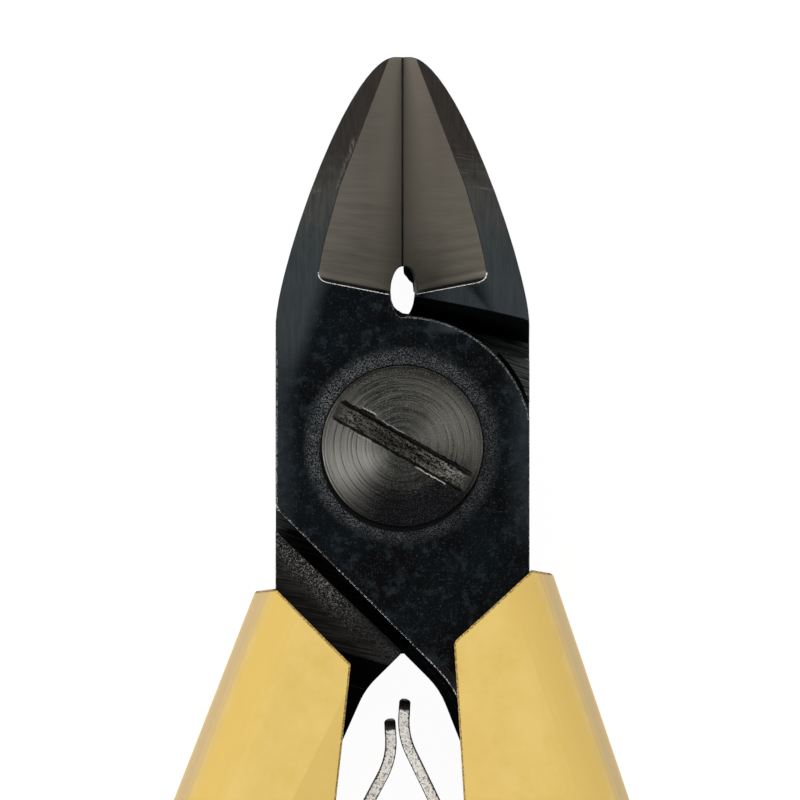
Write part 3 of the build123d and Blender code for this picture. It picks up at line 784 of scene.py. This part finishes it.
def oxide_steel(w):
    """Blackened steel with ground jaw faces, laid on from the plates to the left tang."""
    at = head_spots(w)
    at.left, at.right = w.fade(at.x, 0.05, -0.05), w.fade(at.x, -0.05, 0.05)
    at.tilt = w.tilt()
    at.upright = w.join(at.y, at.x, at.z)
    clouds = w.noise(at.place, 3.4, 5.0, 0.6)
    haze = w.noise(at.place, 0.75, 4.0, 0.68)
    specks = use(w, GRAIN, at.place, Size=0.11, Low=0.60, High=0.74)
    pits = w.noise(at.place, 0.085, 2.0, 0.6)
    streaks = use(w, LINES, at.upright, Length=2.2, Pitch=0.22, Low=0.25, High=0.75)
    drawn = use(w, LINES, at.upright, Length=3.0, Pitch=0.16, Low=0.30, High=0.72)
    sparkle = use(w, GRAIN, at.place, Size=0.075, Low=0.50, High=0.70)
    cut = use(w, LINES, slanted(w, at, 0.18), Length=3.0, Pitch=0.13, Low=0.45, High=0.66)
    # Low walls beside the facets' feet, in painted shade
    low_wall = w.fade(w.scaled(at.out, 0.194, at.y), 9.74, 9.68)
    low_wall = w.times(w.fade(at.tilt, 0.62, 0.60), low_wall)

    colour = plate_oxide(w, at, clouds, haze, specks)
    colour, ring = pressed_ring(w, at, colour, haze, pits)
    colour = jaw_shoulders(w, at, colour, haze, streaks)
    colour, bevel = outer_bevels(w, at, colour, haze, streaks, drawn)
    colour, facet, fine = ground_facets(w, at, colour)
    colour = jaw_walls(w, at, colour)
    colour, black = painted_black_shade(w, at, colour, low_wall, specks)
    colour = broken_edge(w, at, colour)
    colour = lap_face(w, at, colour)
    colour, tang = left_tang(w, at, colour, black, low_wall, sparkle, cut)

    rough = w.fade(clouds, 0.3, 0.7, 0.56, 0.44)
    flat = w.rest(w.most(facet, bevel))
    normal = bumped(
        w,
        (w.times(haze, flat), 0.010),
        (w.times(specks, flat), 0.004),
        (w.times(pits, ring), 0.030),
        (w.times(fine, facet), 0.004),
        (w.times(drawn, bevel), 0.003),
        (w.times(sparkle, tang), 0.012),
        (w.times(cut, tang), 0.008),
    )
    return {
        "Base Color": colour,
        "Roughness": w.add(rough, w.times(facet, -0.08), w.times(black, 0.3)),
        "Metallic": w.times(facet, 0.15),
        "Specular IOR Level": w.scaled(black, -0.07, 0.08),
        "Normal": normal,
    }


def worn_edge(w):
    """Edges where the oxide has worn through to bright steel, most at the facets' lower ends."""
    at = head_spots(w)
    lower = w.scaled(at.out, -0.194, at.y)
    ends = w.times(w.window(lower, 9.30, 9.9, 0.02), w.window(at.out, 0.95, 5.3))
    ends = w.times(ends, w.fade(at.z, 7.0, 7.2))
    step = w.times(w.window(w.add(at.x, at.y), -12.6, -11.2, 0.2), w.fade(at.z, 7.6, 7.8))
    step = w.times(step, w.fade(at.y, 0.0, -1.0), w.fade(at.y, -12.50, -12.40))
    sides = w.times(w.fade(at.out, 7.6, 7.8), w.window(at.y, -8.5, 8.0, 1.5), w.fade(at.z, 7.0, 7.5))
    on_plate = w.fade(at.z, 7.7, 7.9)
    arc = w.times(w.window(at.radius, 7.9, 8.3), on_plate, w.fade(at.y, 1.0, 2.5))
    hole = w.times(w.fade(at.out, 1.0, 0.9), w.window(at.y, 7.9, 9.6), on_plate)
    bare = w.most(w.times(ends, 0.95), w.times(step, 0.10), w.times(sides, 0.5))
    bare = w.most(bare, w.times(w.most(arc, hole), 0.6))
    flecks = use(w, WEAR, at.place, Bare=bare)
    shine = w.colour(w.most(ends, step), paint(116, 118, 118), paint(226, 225, 220))
    oxide = w.colour(w.fade(at.y, 9.6, 9.8), paint(13, 14, 15), paint(48, 45, 42))
    return {
        "Base Color": w.colour(w.times(flecks, w.fade(bare, 0.0, 0.3, 0.15, 1.0)), oxide, shine),
        "Metallic": w.times(flecks, 0.2),
        "Roughness": w.fade(flecks, 0.0, 1.0, 0.6, 0.4),
        "Specular IOR Level": 0.1,
        "Normal": bumped(w, (flecks, 0.004)),
    }


def ring_noise(w, at, close, drift, detail, roughness):
    """Noise in rings: it changes fast outwards and slowly round the axis."""
    rings = w.join(w.times(at.radius, close), w.times(at.x, drift), w.times(at.y, drift))
    return w.noise(rings, 1.0, detail, roughness)


def screw_face(w, at, turned, specks):
    """Colour of the screw's face: turned rings, painted glints at the sides, painted shade below, deep
    lines, specks.
    """
    broken = ring_noise(w, at, 11.0, 0.5, 2.0, 0.6)
    gaps = [w.math("ABSOLUTE", w.scaled(at.radius, 1.0, -line)) for line in DEEP_LINES]
    deep = w.most(*[w.fade(gap, 0.045, 0.012) for gap in gaps])
    far = w.most(at.radius, 0.5)

    def side(way):
        return w.toward(at.x, at.y, far, way)

    colour = w.colour(w.fade(turned, 0.42, 0.58), paint(38, 40, 39), paint(92, 93, 87))
    colour = w.lay(colour, paint(46, 46, 45), w.fade(broken, 0.48, 0.66), 0.5)
    # Painted glints: brighter on the left, and a little on the right
    left_glint = w.times(w.fade(side((-0.985, -0.17)), 0.30, 1.0, soft=True), w.fade(at.radius, 0.6, 2.2))
    left_glint = w.times(left_glint, w.fade(at.radius, 5.0, 4.2, 0.5, 1.0))
    colour = w.lay(colour, paint(150, 148, 142), left_glint, w.fade(turned, 0.3, 0.7, 0.55, 1.0))
    bright = w.fade(side((0.906, 0.423)), 0.25, 0.95, soft=True)
    colour = w.lay(colour, paint(126, 124, 116), bright, 0.4)
    colour = w.lay(colour, paint(22, 21, 20), deep, w.fade(broken, 0.35, 0.6, 0.2, 0.8))
    # Painted shade, darker and bluer below, and darker along the upper rim; darker in the middle too
    lower_shade = w.times(w.fade(side((0.21, -0.978)), 0.15, 0.95, soft=True), w.fade(at.radius, 0.5, 3.4))
    colour = w.lay(colour, paint(11, 14, 19), lower_shade, 0.97)
    colour = w.colour(w.fade(at.radius, 2.6, 0.6, 0.0, 0.55), colour, paint(36, 40, 41))
    high = w.times(w.fade(side((0.26, 0.966)), 0.1, 0.7), w.fade(at.radius, 4.2, 4.9, 0.0, 0.75))
    colour = w.colour(high, colour, paint(30, 31, 30))
    return w.lay(colour, paint(166, 158, 148), specks, w.fade(lower_shade, 0.0, 1.0, 0.45, 0.16))


def screw_slot(w, at, colour):
    """Slot: painted shade along its walls and ragged edges, torn and speckled on its floor, with bright
    burrs.
    """
    turn_x, turn_y = math.cos(SLOT_ANGLE), math.sin(SLOT_ANGLE)
    along = w.scaled(at.x, turn_x, w.times(at.y, turn_y))
    across = w.scaled(at.x, -turn_y, w.times(at.y, turn_x))
    on_head = w.fade(at.z, 6.0, 6.2)
    inside = w.times(w.fade(w.math("ABSOLUTE", across), 0.66, 0.61), w.fade(at.radius, 4.90, 4.78))
    inside = w.times(inside, on_head)
    torn = use(w, LINES, w.join(along, across, at.z), Length=0.9, Pitch=0.11, Low=0.50, High=0.62)
    pocks = use(w, GRAIN, at.place, Size=0.12, Low=0.49, High=0.58)
    # Painted light: the floor's pale tears and pocks show more toward one end
    light = w.times(w.fade(along, -2.0, 2.0, 0.6, 1.0), w.window(along, -3.6, 3.2, 1.6))
    rough = w.times(w.most(w.times(torn, 0.9), w.times(pocks, 0.8)), light)
    floor = w.colour(rough, paint(16, 16, 15), paint(204, 198, 186))
    floor = w.colour(w.fade(w.math("ABSOLUTE", along), 3.6, 4.7, 0.0, 0.45), floor, paint(58, 58, 55))
    # Painted shade on the floor beside the walls
    walls = w.most(w.fade(across, 0.38, 0.48), w.fade(across, -0.48, -0.56))
    floor = w.lay(floor, paint(5, 5, 5), walls, w.fade(at.radius, 4.85, 4.6))
    colour = w.colour(inside, colour, floor)
    # Distance across the slot with a ragged drift, for the painted shade on its torn edges and for its
    # bright burrs
    ragged = w.scaled(w.noise(at.place, 0.30, 4.0, 0.7), 0.30, w.scaled(across, 1.0, -0.15))
    lifted = w.window(along, -3.35, -2.45)
    edges = w.most(w.window(ragged, 0.50, 0.72, 0.03), w.window(ragged, -0.68, -0.58, 0.03))
    edges = w.most(edges, w.times(lifted, w.window(ragged, 0.6, 0.86, 0.03)))
    ends = w.times(w.fade(at.radius, 4.75, 4.6), on_head)
    colour = w.lay(colour, paint(4, 4, 4), edges, ends, 0.93)
    lower = w.times(w.window(ragged, -0.77, -0.72, 0.02), w.window(along, 1.5, 3.4, 0.2))
    upper = w.times(w.window(ragged, 0.73, 0.77, 0.02), w.window(along, -1.8, -0.3, 0.3), 0.5)
    burr = w.most(lower, w.times(lifted, w.window(ragged, 0.87, 0.91, 0.02)), upper)
    return w.lay(colour, paint(212, 211, 206), burr, on_head, 0.85), inside


def screw_steel(w):
    """Turned steel under thin brown oxide, with dark tool grooves and a speckled slot."""
    at = head_spots(w)
    turned = ring_noise(w, at, 9.0, 0.25, 4.0, 0.7)
    specks = use(w, GRAIN, at.place, Size=0.075, Low=0.54, High=0.70)
    colour, inside = screw_slot(w, at, screw_face(w, at, turned, specks))
    return {
        "Base Color": colour,
        "Metallic": w.fade(inside, 0.0, 1.0, 0.85, 0.3),
        "Roughness": w.fade(specks, 0.0, 1.0, 0.46, 0.36),
        "Specular IOR Level": 0.3,
        "Anisotropic": 0.8,
        "Anisotropic Rotation": 0.25,
        "Tangent": w.node("Tangent", direction_type="RADIAL", axis="Z").outputs[0],
        "Normal": bumped(w, (turned, 0.003), (specks, 0.016)),
    }


def hole_shade_paint(w):
    """Near black, for the painted shade in the relief hole."""
    specks = use(w, GRAIN, w.place(), Size=0.08, Low=0.50, High=0.68)
    return {
        "Base Color": w.colour(specks, paint(4, 4, 4), paint(20, 20, 19)),
        "Roughness": 0.75,
        "Specular IOR Level": 0.1,
    }


def leaf_steel(w):
    """Spring strip: speckled sheared edges with dark outlines, rolled sides, painted shade on the
    rounded tip.
    """
    place = w.place()
    along = w.node("Attribute", attribute_name="along").outputs["Fac"]
    across = w.math("ABSOLUTE", w.node("Attribute", attribute_name="across").outputs["Fac"])
    specks = use(w, GRAIN, place, Size=0.12, Low=0.50, High=0.60)
    sheared = w.colour(specks, paint(255, 253, 250), paint(158, 154, 146))
    rolled = w.colour(specks, paint(84, 81, 76), paint(58, 55, 51))
    outline = w.fade(w.scaled(specks, 0.12, across), 0.72, 0.88)
    sheared = w.colour(outline, sheared, paint(40, 37, 33))
    colour = w.colour(w.fade(w.tilt(), 0.6, 0.9), rolled, sheared)
    # Painted shade on the tip, where its rounded end turns away from the light
    wander = w.scaled(w.noise(place, 0.3), 0.25, -0.125)
    tip = w.fade(w.add(along, wander), 0.78, 0.70)
    return {
        "Base Color": w.colour(tip, colour, paint(20, 16, 13)),
        "Metallic": w.fade(tip, 0.0, 1.0, 0.15, 0.0),
        "Roughness": w.fade(specks, 0.0, 1.0, 0.36, 0.5),
        "Specular IOR Level": 0.3,
        "Normal": bumped(w, (specks, 0.008)),
    }


def plastic_tone(w, place):
    """Yellow of the grips, softly mottled, with painted shade deeper on turned sides and a painted grey
    sheen at the front's edge.
    """
    mottle = w.noise(place, 2.6, 4.0, 0.6)
    soft = w.noise(place, 0.55, 3.0, 0.6)
    tilt = w.tilt()
    front = w.fade(w.parts(place)[2], 2.0, 5.0)
    colour = w.colour(w.fade(mottle, 0.36, 0.64), paint(222, 189, 98), paint(230, 198, 114))
    colour = w.colour(w.fade(soft, 0.42, 0.70, 0.0, 0.4), colour, paint(228, 200, 124))
    # Painted shade on the turned sides
    colour = w.colour(w.window(tilt, 0.72, 0.93, 0.06), colour, paint(224, 189, 100))
    # Painted grey sheen where the front's edge turns away
    colour = w.lay(colour, paint(202, 174, 124), w.fade(tilt, 0.76, 0.45, soft=True), front)
    colour = w.colour(w.fade(tilt, 0.30, 0.12, soft=True), colour, paint(216, 182, 100))
    return colour, mottle, soft


def yellow_plastic(w):
    """Moulded plastic, softly mottled, with a fine matt grain and a few light scuffs."""
    place = w.place()
    x, y, z = w.parts(place)
    colour, mottle, soft = plastic_tone(w, place)
    diagonal = w.join(w.add(x, y), w.math("SUBTRACT", x, y), z)
    scuffs = use(w, LINES, diagonal, Length=0.7, Pitch=0.07, Low=0.66, High=0.78)
    matt = w.noise(place, 0.09, 2.0, 0.5)
    return {
        "Base Color": w.colour(w.times(scuffs, 0.35), colour, paint(240, 220, 156)),
        "Roughness": w.fade(soft, 0.3, 0.7, 0.56, 0.46),
        "Specular IOR Level": 0.3,
        "Normal": bumped(w, (matt, 0.005), (mottle, 0.02)),
    }


def dark_specked_rim(w):
    """The grips' edges, in dark brown specks."""
    place = w.place()
    colour, _, _ = plastic_tone(w, place)
    specks = use(w, GRAIN, place, Size=0.12, Low=0.40, High=0.58)
    return {
        "Base Color": w.colour(w.times(specks, 0.8), colour, paint(96, 70, 26)),
        "Roughness": 0.6,
        "Specular IOR Level": 0.2,
        "Normal": bumped(w, (specks, 0.006)),
    }


def rivet_steel(w):
    """Plain bright rivet steel with fine specks."""
    specks = use(w, GRAIN, w.place(), Size=0.2, Low=0.45, High=0.65)
    return {
        "Base Color": w.colour(specks, paint(160, 158, 152), paint(118, 115, 109)),
        "Metallic": 0.8,
        "Roughness": w.fade(specks, 0.0, 1.0, 0.34, 0.5),
        "Normal": bumped(w, (specks, 0.008)),
    }


# Stage


def lay_floor():
    """A pale floor that shows white to the camera, to gloss and through glass, and keeps shadows."""
    floor = bpy.data.meshes.new("floor")
    side, level = FLOOR_HALF * MM, FLOOR_LEVEL * MM
    corners = [(x * side, y * side, level) for x, y in ((-1, -1), (1, -1), (1, 1), (-1, 1))]
    floor.from_pydata(corners, [], [(0, 1, 2, 3)])
    new_object("floor", floor)
    material = bpy.data.materials.new("floor_card")
    material.use_nodes = True
    material.node_tree.nodes.clear()
    w = Wiring(material.node_tree)
    matt = {"Base Color": paint(238, 238, 238), "Roughness": 0.9, "Specular IOR Level": 0.1}
    card = w.node("BsdfPrincipled", matt)
    white = w.node("Emission", {"Color": (1, 1, 1, 1), "Strength": 1.04})
    path = w.node("LightPath").outputs
    seen = w.most(path["Is Camera Ray"], path["Is Glossy Ray"], path["Is Transmission Ray"])
    both = w.node("MixShader", (w.times(seen, 0.93), card.outputs[0], white.outputs[0]))
    w.node("OutputMaterial", (both.outputs[0],))
    floor.materials.append(material)


def light_sky():
    """A white sky, brighter near the horizon than overhead."""
    world = bpy.data.worlds.new("studio")
    bpy.context.scene.world = world
    world.use_nodes = True
    w = Wiring(world.node_tree)
    sky = w.parts(w.node("TexCoord").outputs["Generated"])[2]
    level = w.fade(sky, 0.05, 0.80, 0.62, 0.09, soft=True)
    back = world.node_tree.nodes["Background"]
    back.inputs["Color"].default_value = (1, 1, 1, 1)
    world.node_tree.links.new(level, back.inputs["Strength"])


def hang_lamps():
    """Soft round lamps that face the pivot from all sides."""
    for name, (azimuth, height, size, power) in LAMPS.items():
        lamp = bpy.data.lights.new(name, "AREA")
        lamp.shape, lamp.size, lamp.energy = "DISK", size, power
        box = new_object(name, lamp)
        a, e = math.radians(azimuth), math.radians(height)
        away = np.array([math.cos(a) * math.cos(e), math.sin(a) * math.cos(e), math.sin(e)])
        box.location = away * LAMP_DISTANCE * MM
        box.rotation_euler = (math.pi / 2 - e, 0, a + math.pi / 2)
        box.visible_camera = False


def set_camera():
    """A camera with a long lens that looks straight down on the front face."""
    lens = bpy.data.cameras.new("camera")
    lens.sensor_width = 36.0
    lens.lens = lens.sensor_width * VIEW_DISTANCE / VIEW_WIDTH
    lens.clip_start, lens.clip_end = 0.01, 20.0
    camera = new_object("camera", lens)
    x, y = VIEW_CENTRE
    camera.location = (x * MM, y * MM, (PLATE_TOP + VIEW_DISTANCE) * MM)
    bpy.context.scene.camera = camera
    bpy.context.scene.view_settings.view_transform = "Standard"


# Pieces


def clad(node, *materials):
    """Gives a CAD piece its materials: for its faces, then for its edges."""
    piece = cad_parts[node]
    piece.data.materials.clear()
    for material in materials:
        piece.data.materials.append(material)
    return piece


def wear_edges(piece, width):
    """Breaks a CAD piece's edges by a narrow bevel in its second material."""
    piece.modifiers.new("weld", "WELD").merge_threshold = 2e-6
    rim = piece.modifiers.new("rim", "BEVEL")
    rim.width, rim.segments, rim.limit_method = width * MM, 1, "ANGLE"
    rim.angle_limit, rim.material, rim.use_clamp_overlap = math.radians(EDGE_ANGLE), 1, False
    piece.modifiers.new("even", "WEIGHTED_NORMAL").keep_sharp = True


lay_floor()
light_sky()
hang_lamps()
set_camera()

oxide = finish_of(oxide_steel)
worn = finish_of(worn_edge)
plastic = finish_of(yellow_plastic)
rim_finish = finish_of(dark_specked_rim)
for half in ("front_half", "rear_half"):
    wear_edges(clad(half, oxide, worn), HALF_EDGE)
for grip in ("right_grip", "left_grip"):
    wear_edges(clad(grip, plastic, rim_finish), GRIP_EDGE)

rivet = finish_of(rivet_steel)
for node in ("right_spring_rivet", "left_spring_rivet"):
    clad(node, rivet)

screw = pivot_screw(finish_of(screw_steel))
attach(screw, "rear_lever")
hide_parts("joint_screw")

# The relief hole's pieces are near-black painted shade
hole_black = finish_of(hole_shade_paint)
for piece, body in (
    (screw_collar(oxide), "front_lever"),
    (corner_grease(oxide), "rear_lever"),
    (hole_shade("jaw", hole_black), "rear_lever"),
    (hole_shade("plate", hole_black), "front_lever"),
):
    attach(piece, body)

leaf = finish_of(leaf_steel)
for side in LEAF_ROUTES:
    leaf_spring(side, leaf)
